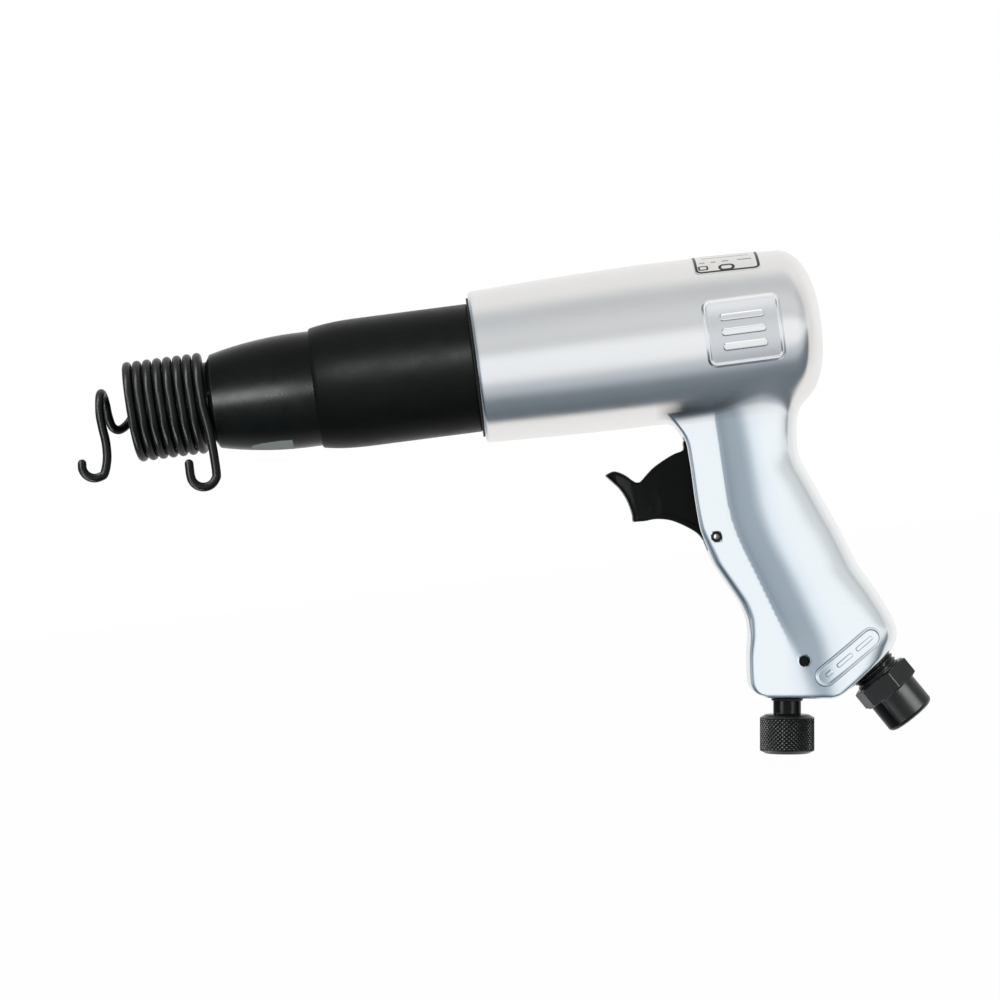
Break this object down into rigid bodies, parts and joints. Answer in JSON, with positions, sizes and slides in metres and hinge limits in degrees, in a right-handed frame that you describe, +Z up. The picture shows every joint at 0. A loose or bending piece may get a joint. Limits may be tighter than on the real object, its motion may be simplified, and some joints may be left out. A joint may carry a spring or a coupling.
{
  "type": "pneumatic air hammer",
  "caption": "Pistol-grip pneumatic air hammer with a coil retainer, trigger throttle, regulator knob and angled air inlet.",
  "frame": {"origin": "centre of the chisel-shank bore at the barrel's muzzle face", "axes": "-X out of the muzzle along the barrel, +Z up with the grip hanging towards -Z, +Y to the tool's right side as its user holds it"},
  "size_m": [0.2781, 0.056, 0.1732],
  "materials": {
    "cast_alloy": "satin polished",
    "label": "brushed, black border",
    "barrel_black": "satin black oxide",
    "sleeve_black": "matte",
    "seal_rubber": "matte",
    "bright_steel": "ground",
    "valve_brass": "turned",
    "trigger_black": "moulded, semi-gloss",
    "oxide_black": "black oxide, oiled",
    "wire_black": "gloss black"
  },
  "bodies": {
    "tool_body": {"handle_housing": "cast_alloy", "rating_label": "label", "barrel": "barrel_black", "exhaust_sleeve": "sleeve_black", "sleeve_seal": "seal_rubber", "sleeve_o_ring": "seal_rubber", "barrel_o_ring": "seal_rubber", "valve_seat": "bright_steel", "valve_case": "bright_steel", "valve_dowels": "bright_steel", "valve_spring_washer": "bright_steel", "trigger_pin": "bright_steel", "throttle_bushing": "valve_brass", "throttle_bushing_o_ring": "seal_rubber", "throttle_spring": "bright_steel", "regulator_pin": "bright_steel", "inlet_bushing": "oxide_black", "inlet_screen": "bright_steel"},
    "trigger_lever": {"trigger": "trigger_black"},
    "throttle_group": {"throttle_plunger": "bright_steel", "throttle_valve": "valve_brass", "throttle_valve_seal": "seal_rubber"},
    "piston_body": {"piston": "bright_steel"},
    "valve_flapper": {"valve_disc": "bright_steel"},
    "regulator_group": {"regulator_spool": "oxide_black", "regulator_o_ring": "seal_rubber", "regulator_dust_ring": "seal_rubber", "regulator_knob": "oxide_black", "knob_set_screw": "oxide_black"},
    "retainer_coil": {"retainer_spring": "wire_black"}
  },
  "joints": [
    {"name": "trigger_pull", "type": "hinge", "parent": "tool_body", "child": "trigger_lever", "pos_m": [0.1914, 0, -0.0678], "axis": [0, 1, 0], "range_deg": [0, 7]},
    {"name": "throttle_slide", "type": "slide", "parent": "tool_body", "child": "throttle_group", "axis": [1, 0, 0], "range_m": [0, 0.0029], "deforming": ["throttle_spring"]},
    {"name": "piston_stroke", "type": "slide", "parent": "tool_body", "child": "piston_body", "axis": [-1, 0, 0], "range_m": [0, 0.088]},
    {"name": "valve_shift", "type": "slide", "parent": "tool_body", "child": "valve_flapper", "axis": [1, 0, 0], "range_m": [0, 0.0015]},
    {"name": "regulator_turn", "type": "hinge", "parent": "tool_body", "child": "regulator_group", "pos_m": [0.2088, 0, -0.1255], "axis": [0.1288, 0, 0.9917], "continuous": true},
    {"name": "retainer_turn", "type": "hinge", "parent": "tool_body", "child": "retainer_coil", "pos_m": [0, 0, 0], "axis": [1, 0, 0], "continuous": true}
  ],
  "couplings": [
    {"joint": "throttle_slide", "follows": "trigger_pull", "m_per_rad": 0.0222}
  ]
}
